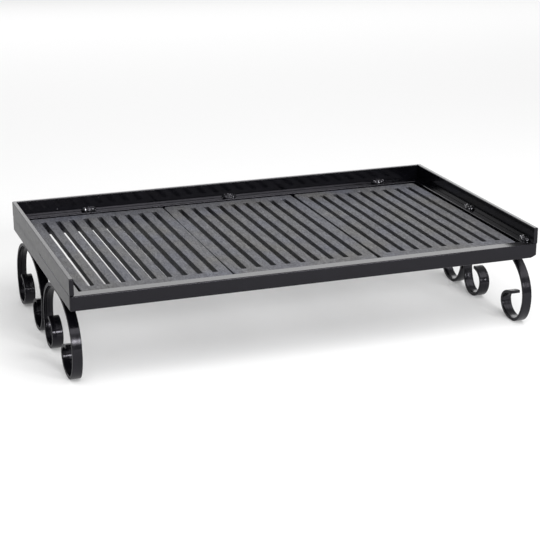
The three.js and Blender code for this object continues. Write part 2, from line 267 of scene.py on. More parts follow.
class Shader:
    """A material under construction: short calls that add and join its nodes."""

    def __init__(self, name: str) -> None:
        """Start a material with a Principled shader.

        Args:
            name: the material's name.
        """
        self.material = bpy.data.materials.new(name)
        self.material.use_nodes = True
        self.tree = self.material.node_tree
        self.surface = self.tree.nodes["Principled BSDF"]
        self.coordinates = self.add("ShaderNodeTexCoord").outputs["Object"]

    def add(self, kind: str) -> bpy.types.Node:
        """Add one node of a kind."""
        return self.tree.nodes.new(kind)

    def join(self, source: Socket, target: Socket) -> None:
        """Link an output to an input."""
        self.tree.links.new(source, target)

    def noise(
        self, grain: float, detail: float = 3, stretch: Triple = (1, 1, 1), roughness: float = 0.5
    ) -> Socket:
        """Noise over the piece's own coordinates.

        Args:
            grain: size of one feature, metres.
            detail: octaves of finer noise.
            stretch: length of the features along each axis, as a multiple of grain.
            roughness: strength of the finer octaves.

        Returns:
            The noise value, from 0 to 1.
        """
        mapping = self.add("ShaderNodeMapping")
        mapping.inputs["Scale"].default_value = [1 / share for share in stretch]
        self.join(self.coordinates, mapping.inputs["Vector"])
        texture = self.add("ShaderNodeTexNoise")
        texture.inputs["Scale"].default_value = 1 / grain
        texture.inputs["Detail"].default_value = detail
        texture.inputs["Roughness"].default_value = roughness
        self.join(mapping.outputs["Vector"], texture.inputs["Vector"])
        return texture.outputs["Fac"]

    def spread(
        self,
        value: Socket,
        low: float,
        high: float,
        start: float = NOISE_LOW,
        stop: float = NOISE_HIGH,
    ) -> Socket:
        """Carry a value from the range start to stop onto low to high.

        Args:
            value: the value to carry.
            low: result at start.
            high: result at stop.
            start: value where the change begins.
            stop: value where it ends.

        Returns:
            The new value.
        """
        ranged = self.add("ShaderNodeMapRange")
        ends = {"From Min": start, "From Max": stop, "To Min": low, "To Max": high}
        for socket, number in ends.items():
            ranged.inputs[socket].default_value = number
        self.join(value, ranged.inputs["Value"])
        return ranged.outputs["Result"]

    def blend(self, value: Socket, low: Triple, high: Triple) -> Socket:
        """A colour between two, by a value in a noise's usual range.

        Args:
            value: the value that chooses.
            low: colour at the range's lower end.
            high: colour at its upper end.

        Returns:
            The colour.
        """
        ramp = self.add("ShaderNodeValToRGB")
        stops = ramp.color_ramp.elements
        stops[0].position, stops[1].position = NOISE_LOW, NOISE_HIGH
        stops[0].color, stops[1].color = (*low, 1), (*high, 1)
        self.join(value, ramp.inputs["Fac"])
        return ramp.outputs["Color"]

    def times(self, first: Socket, second: Socket) -> Socket:
        """Two colours or numbers multiplied, channel by channel.

        Args:
            first: a colour or number.
            second: another.

        Returns:
            The product.
        """
        product = self.add("ShaderNodeVectorMath")
        product.operation = "MULTIPLY"
        self.join(first, product.inputs[0])
        self.join(second, product.inputs[1])
        return product.outputs["Vector"]

    def plus(self, first: Socket, second: Socket) -> Socket:
        """Two numbers added.

        Args:
            first: a number.
            second: another.

        Returns:
            The sum.
        """
        total = self.add("ShaderNodeMath")
        self.join(first, total.inputs[0])
        self.join(second, total.inputs[1])
        return total.outputs["Value"]

    def sideways(self, most: float) -> Socket:
        """A value that grows with the square of the face normal's X.

        Args:
            most: its value on a face that looks straight along X.

        Returns:
            The value.
        """
        parts = self.add("ShaderNodeSeparateXYZ")
        self.join(self.add("ShaderNodeNewGeometry").outputs["Normal"], parts.inputs["Vector"])
        square = self.times(parts.outputs["X"], parts.outputs["X"])
        return self.spread(square, 0, most, *FACING_X)

    def bump(self, height: Socket, depth: float) -> None:
        """Raise the surface by a height, on top of what was raised before.

        Args:
            height: value from 0 to 1.
            depth: height of the full value, metres.
        """
        node = self.add("ShaderNodeBump")
        node.inputs["Distance"].default_value = depth
        self.join(height, node.inputs["Height"])
        normal = self.surface.inputs["Normal"]
        if normal.is_linked:
            self.join(normal.links[0].from_socket, node.inputs["Normal"])
        self.join(node.outputs["Normal"], normal)


@dataclass(frozen=True)
class BlackPaint:
    """Sprayed black paint: near-black, its gloss broken by a fine orange peel."""

    name: str
    smooth: float  # roughness where the coat is thick
    dull: float  # roughness where it is thin
    peel: float  # height of the orange peel, metres
    ripple: float  # height of the bar's own long waves, metres
    tint: Triple = (0.0013, 0.0013, 0.0019)
    lift: float = 1.8  # how many times lighter the coat is in its cloudy parts
    drawn: float = 1.0  # how far the waves are drawn out along Y and Z, as in a bent bar
    chips: bool = False  # whether the coat is worn through to steel in small spots
    chip_range: tuple[float, float] = (0.61, 0.67)  # noise at which the steel starts and is bare
    steel: Triple = (0.55, 0.55, 0.58)
    sides: float = 0.0  # roughness added on faces that look along X, as on sheared edges
    index: float = 1.34  # refractive index
    sheen: Triple = (0.93, 0.9, 1.0)  # tint of its reflections
    cloud_grain: float = 18 * MM
    chip_grain: float = 2.6 * MM
    wear_grain: float = 7 * MM
    wave_grain: float = 26 * MM
    peel_grain: float = 1.6 * MM

    def make(self) -> Material:
        """Build the material.

        Returns:
            The material.
        """
        shader = Shader(self.name)
        shader.surface.inputs["IOR"].default_value = self.index
        shader.surface.inputs["Specular Tint"].default_value = (*self.sheen, 1)
        if self.chips:
            spots = shader.noise(self.chip_grain, detail=1)
            bare = shader.spread(spots, 0, 1, *self.chip_range)
            shader.join(bare, shader.surface.inputs["Metallic"])
            colour = shader.blend(bare, self.tint, self.steel)
        else:
            cloud = shader.noise(self.cloud_grain, detail=4)
            colour = shader.blend(cloud, self.tint, tuple(self.lift * part for part in self.tint))
        shader.join(colour, shader.surface.inputs["Base Color"])
        wear = shader.noise(self.wear_grain, detail=5, roughness=0.6)
        roughness = shader.spread(wear, self.smooth, self.dull)
        if self.sides:
            roughness = shader.plus(roughness, shader.sideways(self.sides))
        shader.join(roughness, shader.surface.inputs["Roughness"])
        stretch = (1, self.drawn**2, self.drawn**2)
        waves = shader.noise(self.wave_grain / self.drawn, detail=2, stretch=stretch)
        shader.bump(waves, self.ripple)
        shader.bump(shader.noise(self.peel_grain, detail=2), self.peel)
        return shader.material


@dataclass(frozen=True)
class BareCasting:
    """Bare cast iron: mottled grey and sandy, with streaks along the ribs, and painted shade in
    its slots.
    """

    name: str
    dark: Triple
    light: Triple
    smooth: float
    dull: float
    sand: float  # height of the sand's grain, metres
    dimple: float  # height of the casting's wider unevenness, metres
    cool: Triple = (0.93, 0.96, 1.1)
    warm: Triple = (1.04, 1.02, 0.95)
    sheen: Triple = (0.93, 0.94, 1.0)  # tint of its reflections
    gloss: float = 0.4  # specular level of the face
    wall_gloss: float = 0.04  # painted shade: the lower specular level of the slots' walls
    speck: float = 0.38  # how far single grains are lighter or darker
    shade: float = 0.5  # painted shade: colour of the slots' walls, as a share of the face's
    fade: float = 1.2 * MM  # depth at which the painted shade on the walls is whole
    fade_start: float = 0.36 * MM  # depth at which the painted shade starts to darken the face's colour
    mottle_grain: float = 5 * MM
    tint_grain: float = 70 * MM
    speck_grain: float = 1.6 * MM
    polish_grain: float = 3.2 * MM
    dimple_grain: float = 11 * MM
    sand_grain: float = 1.1 * MM

    def make(self, face: float) -> Material:
        """Build the material.

        Args:
            face: height of the face's plane, metres. Iron below it gets painted shade: a darker
                colour and a lower specular level.

        Returns:
            The material.
        """
        shader = Shader(self.name)
        inputs = shader.surface.inputs
        inputs["Specular Tint"].default_value = (*self.sheen, 1)
        mottle = shader.noise(self.mottle_grain, detail=6, stretch=(1, 4, 1), roughness=0.65)
        colour = shader.blend(mottle, self.dark, self.light)
        tint = shader.blend(shader.noise(self.tint_grain, detail=1), self.cool, self.warm)
        specks = shader.noise(self.speck_grain, detail=2, stretch=(1, 3, 1))
        grain = shader.spread(specks, 1 - self.speck, 1 + self.speck)
        parts = shader.add("ShaderNodeSeparateXYZ")
        shader.join(shader.coordinates, parts.inputs["Vector"])
        # Painted shade in the slots: the colour darkens with depth below the face.
        depths = (face - self.fade, face - self.fade_start)
        painted_slot_shade = shader.spread(parts.outputs["Z"], self.shade, 1, *depths)
        for share in (tint, grain, painted_slot_shade):
            colour = shader.times(colour, share)
        shader.join(colour, inputs["Base Color"])
        # Painted shade: the specular level also falls on the slots' walls.
        level = shader.spread(painted_slot_shade, self.wall_gloss, self.gloss, self.shade, 1)
        shader.join(shader.times(level, grain), inputs["Specular IOR Level"])
        polish = shader.noise(self.polish_grain, detail=5, stretch=(1, 5, 1), roughness=0.6)
        shader.join(shader.spread(polish, self.smooth, self.dull), inputs["Roughness"])
        shader.bump(shader.noise(self.dimple_grain, detail=2), self.dimple)
        shader.bump(shader.noise(self.sand_grain, detail=4, roughness=0.6), self.sand)
        return shader.material


@dataclass(frozen=True)
class PaleFloor:
    """Plain pale floor, lit a little from within so that shadows on it stay soft."""

    name: str = "pale_floor"
    shade: float = 0.79
    glow: float = 0.15
    roughness: float = 0.9
    gloss: float = 0.1

    def make(self) -> Material:
        """Build the material.

        Returns:
            The material.
        """
        shader = Shader(self.name)
        values = {
            "Base Color": (self.shade, self.shade, self.shade, 1),
            "Roughness": self.roughness,
            "Specular IOR Level": self.gloss,
            "Emission Color": (1, 1, 1, 1),
            "Emission Strength": self.glow,
        }
        for socket, value in values.items():
            shader.surface.inputs[socket].default_value = value
        return shader.material


FRAME_PAINT = BlackPaint("frame_paint", smooth=0.1, dull=0.17, peel=0.004 * MM, ripple=0.05 * MM)
HAZY_PAINT = BlackPaint(
    "hazy_frame_paint", smooth=0.19, dull=0.24, peel=0.006 * MM, ripple=0.08 * MM, sides=0.12
)
LEG_ENAMEL = BlackPaint(
    "leg_enamel", smooth=0.1, dull=0.26, peel=0.006 * MM, ripple=0.34 * MM,
    tint=(0.0015, 0.0015, 0.0022), drawn=5, sides=0.35, index=1.37,
)
BEAD_PAINT = BlackPaint(
    "bead_paint", smooth=0.05, dull=0.12, peel=0.03 * MM, ripple=0.3 * MM,
    tint=(0.003, 0.003, 0.004), chips=True, index=1.4,
)
DUSTY_PAINT = BlackPaint(
    "dusty_paint", smooth=0.5, dull=0.75, peel=0.01 * MM, ripple=0.05 * MM,
    tint=(0.05, 0.05, 0.056),
)
BARE_IRON = BareCasting(
    "bare_iron", dark=(0.062, 0.062, 0.066), light=(0.112, 0.112, 0.117),
    smooth=0.55, dull=0.75, sand=0.12 * MM, dimple=0.2 * MM,
)


def dress(
    piece: Piece, material: Material, body: str = "frame", node: str | None = None
) -> None:
    """Paint a piece, ride it on its body and let it stand for a CAD node.

    Args:
        piece: the finished piece.
        material: its material.
        body: the body that it moves with.
        node: the CAD node that it stands for, or None for trim that is only added.
    """
    piece.data.materials.clear()
    piece.data.materials.append(material)
    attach(piece, body)
    if node:
        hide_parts(node)
    stands_for = node or "no CAD node"
    LOG.info("%s: %d faces, stands for %s", piece.name, len(piece.data.polygons), stands_for)


# ---- frame


@dataclass
class Rail:
    """One solid bar of the frame, cut on the corners' diagonals at both ends."""

    node: str
    inward: tuple[int, int]  # direction from the outer face into the grate
    mitre: float  # width of the rails that it meets
    edge: float = 1.5 * MM
    corner: float = 0.22  # round on the frame's upright corners, share of the rail's width
    corner_stations: int = 14
    middle_stations: int = 24
    growth: float = 1.6  # power by which the stations' steps grow from the mitre
    ground_run: float = 11 * MM  # how far the front right corner's lower edge is ground off
    ground_rise: float = 5 * MM
    ground_slope: float = 2.0  # how many times steeper the grinding is from the front

    def ground_off(self, plan: np.ndarray, half: Vector) -> np.ndarray:
        """Height that grinding took off under the front right corner.

        It is the full rise times two ramps, which climb from 0 to 1 over the last
        millimetres towards the right side and towards the front.

        Args:
            plan: places in the grate's plan, shape (..., 2).
            half: half the grate's width and depth.

        Returns:
            Heights, with a last axis of one.
        """
        along = np.clip(1 - (half.x - plan[..., :1]) / self.ground_run, 0, 1)
        across = 1 - (half.y + plan[..., 1:]) / self.ground_run
        return self.ground_rise * along * np.clip(self.ground_slope * across, 0, 1)

    def stations(self, spread: np.ndarray, width: float, run: float) -> np.ndarray:
        """Places of the bar's section from one mitre to the other.

        At a distance a from the outer face, the bar's boundary is the round corner's circle
        of radius r - a while a is under r, and a straight line after it. The diagonal cuts
        it where it is as far in along the bar as across. Stations go in growing steps from
        there to the end of the inner corner, and the second end mirrors the first.

        Args:
            spread: distances in from the outer face, one for each point of the section.
            width: of the bar.
            run: whole length of the bar.

        Returns:
            Places along and across the bar, shape (stations, points, 2).
        """
        r = self.corner * width
        radius = np.clip(r - spread, 0, None)
        diagonal = np.where(spread < r, r - radius * DIAGONAL, spread)
        share = np.linspace(0, 1, self.corner_stations)[:, None] ** self.growth
        along = diagonal + share * (width - diagonal)
        reach = np.clip(radius**2 - np.clip(r - along, 0, None) ** 2, 0, None)
        across = np.where(spread < r, r - np.sqrt(reach), spread)
        first = np.stack([along * self.mitre / width - run / 2, across], axis=-1)
        second = first[::-1] * [-1, 1]
        middle = np.linspace(0, 1, self.middle_stations)[1:-1, None, None]
        straight = first[-1] + middle * (second[0] - first[-1])
        return np.concatenate([first, straight, second])

    def build(self, half: Vector, paint: Material) -> None:
        """Make the rail and dress it.

        Args:
            half: half the grate's width and depth.
            paint: its material.
        """
        low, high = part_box(self.node)
        into = np.array(self.inward)
        along = np.array([into[1], -into[0]])
        height = high.z - low.z
        width = float(abs(np.array(high.xy - low.xy) @ into))
        run = 2 * float(abs(np.array(half.xy) @ along))
        outer = -into * abs(np.array(half.xy) @ into)
        section = round_rectangle(width, height, self.edge) + [width / 2, height / 2]
        places = self.stations(section[:, 0], width, run)
        plan = outer + places[..., :1] * along + places[..., 1:] * into
        levels = low.z + np.maximum(section[:, 1, None], self.ground_off(plan, half))
        piece = swept_solid(f"{self.node}_bar", np.concatenate([plan, levels], axis=-1))
        dress(piece, paint, node=self.node)


@dataclass
class FlatBar:
    """A bar of rectangular plan with rounded edges: a wall on edge, or a ledge lying flat."""

    node: str
    over: float  # radius of the upper edges
    under: float  # radius of the lower edges
    corners: tuple[float, float, float, float]  # upright radii, anticlockwise from +X +Y
    drop: float = 0.0  # how far it reaches down to what it stands on
    tightest: float = 0.05 * MM  # least radius of an upright edge

    def build(self, paint: Material) -> None:
        """Make the bar and dress it: the plan's outline, drawn in at each rounded edge.

        Args:
            paint: its material.
        """
        low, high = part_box(self.node)
        size = high - low
        middle = (low + high) / 2
        rings = []
        for level, inset in rounded_levels(size.z + self.drop, self.under, self.over):
            radii = np.clip(np.array(self.corners) - inset, self.tightest, None)
            outline = round_rectangle(size.x - 2 * inset, size.y - 2 * inset, radii)
            height = np.full(len(outline), low.z - self.drop + level)
            rings.append(np.column_stack([outline + [middle.x, middle.y], height]))
        piece = swept_solid(f"{self.node}_bar", np.array(rings))
        dress(piece, paint, node=self.node)


@dataclass
class SeamFiller:
    """Weld ground flush over the rear of the seam between the left wall and its rail."""

    start: float = -8 * MM  # where the dressed seam begins, along Y
    stop: float = 203.5 * MM
    above: float = 2.2 * MM  # reach over the seam
    below: float = 1.9 * MM  # reach under it
    thickness: float = 1.2 * MM
    blunt: int = 8  # power that keeps the strip's height whole until near its ends
    thinnest: float = 0.02  # square of the height's share that is left at the ends
    stations: int = 60

    def build(self, paint: Material) -> None:
        """Make the strip and dress it: a flat rectangular section that thins to its ends.

        Its outer face is level with the wall's. At a share s of the way from its middle to
        an end, the height is the root of 1 - s to the power of blunt.

        Args:
            paint: its material.
        """
        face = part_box("left_wall")[0].x
        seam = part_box("left_rail")[1].z
        share = np.linspace(-1, 1, self.stations)
        swell = np.sqrt(np.clip(1 - share**self.blunt, self.thinnest, 1))[:, None]
        along = (self.start + (share + 1) / 2 * (self.stop - self.start))[:, None]
        across = np.array([0, 0, 1, 1]) * self.thickness
        rise = np.array([self.above, -self.below, -self.below, self.above]) * swell
        rings = np.dstack(np.broadcast_arrays(face + across, along, seam + rise))
        dress(swept_solid("left_seam_filler", rings), paint)


@dataclass
class Spatter:
    """Small drops of weld metal that stuck to the back wall's inner face."""

    places: tuple[Triple, ...] = (
        (-217.0 * MM, 152.4 * MM, 1.3 * MM),
        (-284.5 * MM, 139.2 * MM, 1.5 * MM),
    )  # X, Z and radius of each drop
    spans: int = 16
    height: float = 0.8  # how far a drop stands out, share of its radius
    sunk: float = 0.1  # how deep its rim lies in the wall, share of its radius
    tip: float = 0.06  # angle from its middle at which the drop is cut flat

    def build(self, paint: Material) -> None:
        """Make each drop and dress it: half an ellipsoid on the wall, sunk a little into it.

        Args:
            paint: its material.
        """
        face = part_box("back_wall")[0].y
        turn = np.linspace(self.tip, QUARTER, self.spans // 2)[:, None]
        around = np.linspace(0, 2 * math.pi, self.spans, endpoint=False)
        for index, (x, z, radius) in enumerate(self.places):
            flat = radius * np.sin(turn)
            out = radius * (self.height * np.cos(turn) - self.sunk)
            sides = (x + flat * np.cos(around), face - out, z + flat * np.sin(around))
            rings = np.dstack(np.broadcast_arrays(*sides))
            dress(swept_solid(f"back_wall_spatter_{index + 1}", rings), paint)


@dataclass
class Frame:
    """Four rails, three walls on them and two ledges inside."""

    seat: float = 0.3 * MM  # clearance that a wall closes down to its rail
    wall_edge: float = 1.2 * MM
    wall_foot: float = 0.5 * MM
    open_foot: float = 2 * MM  # the left wall's foot, whose seam to the rail was left open
    cut_end: float = 0.7 * MM  # upright edges of a sawn end
    ground_corner: float = 2.6 * MM  # outer back corners, ground after welding
    ledge_edge: float = 0.5 * MM

    def build(
        self, box: tuple[Vector, Vector], paint: Material, hazy: Material, dusty: Material
    ) -> None:
        """Make all bars of the frame.

        Args:
            box: the whole grate's lowest and highest corners.
            paint: the rails' and walls' material.
            hazy: that of the left ones, whose coat is duller.
            dusty: the ledges' material.
        """
        half = (box[1] - box[0]) / 2
        side_low, side_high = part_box("left_rail")
        end_low, end_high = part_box("front_rail")
        side_width = side_high.x - side_low.x
        end_width = end_high.y - end_low.y
        Rail("front_rail", (0, 1), side_width).build(half, paint)
        Rail("back_rail", (0, -1), side_width).build(half, paint)
        Rail("left_rail", (1, 0), end_width).build(half, hazy)
        Rail("right_rail", (-1, 0), end_width).build(half, paint)
        cut, ground = self.cut_end, self.ground_corner
        walls = (
            ("left_wall", hazy, self.open_foot, (cut, ground, cut, cut)),
            ("right_wall", paint, self.wall_foot, (ground, cut, cut, cut)),
            ("back_wall", paint, self.wall_foot, (cut,) * 4),
        )
        for node, coat, foot, corners in walls:
            FlatBar(node, self.wall_edge, foot, corners, self.seat).build(coat)
        edge = self.ledge_edge
        for node in ("front_ledge", "back_ledge"):
            FlatBar(node, edge, edge, (edge,) * 4).build(dusty)


# ---- panels


@dataclass
class GratePanel:
    """One loose casting: nine long slots that widen towards the underside.

    The panel is cut into nine cells, each a slot with the iron halfway to its neighbours.
    A cell is a stack of rings with equal counts of points: from its edge in to the slot's
    rounded mouth, down the slot's sloping wall, and back out along the underside.
    """

    node: str
    body: str
    seed: int
    slots: int = 9
    side_margin: float = 21.2 * MM  # panel's side to the middle of its outermost slot
    end_margin: float = 20 * MM  # panel's front and back to the slots' ends
    slot_width: float = 7.7 * MM
    slot_round: float = 1.8 * MM
    draft: float = 4.8 * MM  # how much wider each side is at the underside
    end_draft: float = 1.5 * MM
    bow: float = 1.1 * MM  # how far the long edges bow past their ends
    taper: float = 0.0  # how far the left edge leans in towards the front
    corner: float = 4.5 * MM
    rim: float = 1.1 * MM  # round on the panel's own edges
    mouth: float = 0.9 * MM  # round on the slots' upper edges
    lip: float = 0.4 * MM  # round on the slots' lower edges
    wander: float = 0.16 * MM  # how far a cast edge strays
    wave: float = 90 * MM  # length of its longest stray
    spans: int = 40  # spans along a slot's straight side
    arc: int = 4  # spans in each quarter circle
    end_share: float = 0.4  # where a cell corner's last point lies, share of the way to the side

    def ring(self, half_width: float, half_length: float, radius: float) -> np.ndarray:
        """A slot's outline: straight sides and ends, joined by quarter circles.

        It starts at the front of the right side and goes anticlockwise. The second half is
        the first one turned half round.

        Args:
            half_width: half the slot's width.
            half_length: half its length.
            radius: of its corners.

        Returns:
            Points, shape (n, 2).
        """
        angle = np.linspace(0, QUARTER, self.arc + 1)
        straight = np.linspace(-1, 1, self.spans + 1)[:-1] * (half_length - radius)
        side = np.column_stack([np.full(self.spans, half_width), straight])
        centre = [half_width - radius, half_length - radius]
        corner = np.stack([np.cos(angle), np.sin(angle)], axis=-1) * radius + centre
        half = np.concatenate([side, corner, [[0, half_length]], corner[:0:-1] * [-1, 1]])
        return np.concatenate([half, -half])

    def edge_ring(self, left: float, right: float, half_depth: float, length: float) -> np.ndarray:
        """A cell's outer edge, with a point for each point of ring().

        Points beside the slot's straight sides lie level with them. Those of its quarter
        circles are shared out over the cell's corners.

        Args:
            left: X of the cell's left edge, from the slot's middle.
            right: X of its right edge.
            half_depth: half the panel's depth between its rims.
            length: half the slot's straight length.

        Returns:
            Points, shape (n, 2).
        """
        straight = np.linspace(-1, 1, self.spans + 1)[:-1] * length
        inner = self.corner - self.rim
        parts = []
        for near, far, sign in ((right, left, 1), (left, right, -1)):
            corners = [
                np.array(
                    [
                        [x, length],
                        [x, half_depth - inner],
                        [x, half_depth],
                        [x - math.copysign(inner, x), half_depth],
                        [self.end_share * x, half_depth],
                    ]
                )
                * [1, sign]
                for x in (near, far)
            ]
            side = np.column_stack([np.full(self.spans, near), sign * straight])
            parts += [side, corners[0], [[0, sign * half_depth]], corners[1][:0:-1]]
        return np.concatenate(parts)

    def shape_edge(self, points: np.ndarray, half: np.ndarray) -> np.ndarray:
        """Bow the long edges and cut the corners of the panel's own outline.

        A point's X shrinks by the bow times the square of its share of the half depth, and
        on the left edge also by the taper times its share of the way to the front. The four
        corner points move in along both axes onto the corner's circle, and the points
        beside them go along with the bow.

        Args:
            points: in the panel's own plan, shape (..., 2).
            half: half the face's width and depth.

        Returns:
            The shaped points.
        """
        out = points.copy()
        size, sign = np.abs(points), np.sign(points)
        inner = self.corner - self.rim
        outer = np.abs(size[..., 0] - half[0]) < HAIR
        beside = np.abs(size[..., 0] - half[0] + inner) < HAIR
        at_end = np.abs(size[..., 1] - half[1]) < HAIR
        share = points[..., 1] / half[1]
        lean = np.where(sign[..., 0] < 0, self.taper * (1 - share) / 2, 0)
        bow = sign[..., 0] * (self.bow * share**2 + lean)
        out[..., 0] -= np.where(outer | (beside & at_end), bow, 0)
        cut = inner * (1 - DIAGONAL)
        return out - np.where((outer & at_end)[..., None], sign * cut, 0)

    def cells(self, half: np.ndarray, height: float) -> np.ndarray:
        """All rings of all cells.

        Args:
            half: half the face's width and depth, between the rims.
            height: of the panel.

        Returns:
            Points with the panel's top on zero, shape (cells, rings, points, 3).
        """
        pitch = 2 * (half[0] + self.rim - self.side_margin) / (self.slots - 1)
        half_length = half[1] + self.rim - self.end_margin
        turn = np.linspace(0, QUARTER, self.arc + 1)
        depth = height - self.lip
        wall = np.linspace(self.mouth, depth, self.arc + 1)[1:]
        lip = self.lip * np.array([[0.7, 0.3], [1, 1]])  # depth and widening of its two steps
        drop = np.concatenate([self.mouth * (1 - np.cos(turn)), wall, depth + lip[:, 0]])
        over = np.concatenate([self.mouth * (1 - np.sin(turn)), np.zeros(self.arc), lip[:, 1]])
        levels = np.concatenate([[0, 0], -drop, [-height, -height]])[:, None]
        cells = []
        for index in range(self.slots):
            middle = (index - (self.slots - 1) / 2) * pitch
            left = -half[0] - middle if index == 0 else -pitch / 2
            right = half[0] - middle if index == self.slots - 1 else pitch / 2
            edge = self.edge_ring(left, right, half[1], half_length - self.slot_round)
            edge = self.shape_edge(edge + [middle, 0], half)
            walls = [
                self.ring(
                    self.slot_width / 2 + self.draft * share + out,
                    half_length + self.end_draft * share + out,
                    self.slot_round + out,
                )
                for share, out in zip(drop / height, over)
            ]
            stray = smooth_waves(walls[0][:, 1], self.seed + index, self.wave, self.wander)
            walls = np.array(walls) + [middle, 0]
            walls[..., 0] += stray
            top, beneath = (edge + walls[0]) / 2, (edge + walls[-1]) / 2
            plan = np.concatenate([[edge, top], walls, [beneath, edge]])
            cells.append(np.dstack([plan, np.broadcast_to(levels, plan.shape[:2])]))
        return np.array(cells)

    def rim_rings(self, cells: np.ndarray, height: float) -> np.ndarray:
        """The panel's own side: its face's outline carried out and down round the rim.

        The outline is picked from the cells' edges, put in order round the middle, and
        moved along its own normals by the rim's quarter circles.

        Args:
            cells: as cells() gives them.
            height: of the panel.

        Returns:
            Points, shape (rings, points, 3).
        """
        edges = cells[:, 0, :, :2].reshape(-1, 2)
        half = np.abs(edges).max(0)
        inside = half - np.abs(edges)
        at_side = inside[:, 0] < self.bow + self.taper + self.corner / 2
        at_end = inside[:, 1] < HAIR
        outline = np.unique(np.round(edges[at_side | at_end], DIGITS), axis=0)
        bearing = np.arctan2(outline[:, 1] / half[1], outline[:, 0] / half[0])
        outline = outline[np.argsort(bearing)]
        ahead, behind = np.roll(outline, -1, axis=0), np.roll(outline, 1, axis=0)
        tangent = unit(unit(outline - behind) + unit(ahead - outline))
        normal = np.stack([tangent[:, 1], -tangent[:, 0]], axis=-1)
        levels = rounded_levels(height, self.rim, self.rim)
        out = self.rim - levels[:, 1]
        plan = outline + out[:, None, None] * normal
        heights = np.broadcast_to((levels[:, 0] - height)[:, None], plan.shape[:2])
        return np.dstack([plan, heights])

    def build(self, iron: Material) -> None:
        """Make the casting and dress it.

        Args:
            iron: its material.
        """
        low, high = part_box(self.node)
        size = high - low
        half = np.array([size.x, size.y]) / 2 - self.rim
        cells = self.cells(half, size.z)
        sides = self.rim_rings(cells, size.z)
        count, rings, around = cells.shape[:3]
        faces = [grid_faces(rings, around) + cell * rings * around for cell in range(count)]
        faces.append(grid_faces(*sides.shape[:2]) + count * rings * around)
        points = np.concatenate([cells.reshape(-1, 3), sides.reshape(-1, 3)])
        points += [(low.x + high.x) / 2, (low.y + high.y) / 2, high.z]
        piece = put_mesh(f"{self.node}_casting", points, faces)
        dress(piece, iron, self.body, self.node)


# ---- legs


@dataclass(frozen=True)
class Foot:
    """How one foot of an arch is bent. By hand, so that no two are quite the same."""

    reach: float = 34 * MM  # from the foot in to the back of the scroll
    curl: float = 25.5 * MM  # back of the scroll above the hearth
    rise: float = 20 * MM  # scroll's tip above its back
    hook: float = 30 * MM  # scroll's tip forward of its back
    along: float = 0.0  # how far the foot strays along Y
    splay: float = 0.0  # how far it strays along X


HIGH_CURL = 24.5 * MM  # rise of each arch's rear scroll, which is curled higher
FEET = {
    "front_left": (
        Foot(reach=39 * MM, hook=33 * MM),
        Foot(rise=HIGH_CURL, along=1.5 * MM),
    ),
    "front_right": (
        Foot(hook=32 * MM),
        Foot(reach=30 * MM, hook=29 * MM, rise=HIGH_CURL - 1 * MM, splay=-3.2 * MM),
    ),
    "back_left": (
        Foot(rise=21 * MM, along=2.5 * MM, splay=-0.3 * MM),
        Foot(rise=HIGH_CURL, along=3.5 * MM, splay=-0.3 * MM),
    ),
    "back_right": (
        Foot(reach=35 * MM, along=-1.5 * MM, splay=-2.2 * MM),
        Foot(rise=HIGH_CURL, splay=-0.5 * MM),
    ),
}


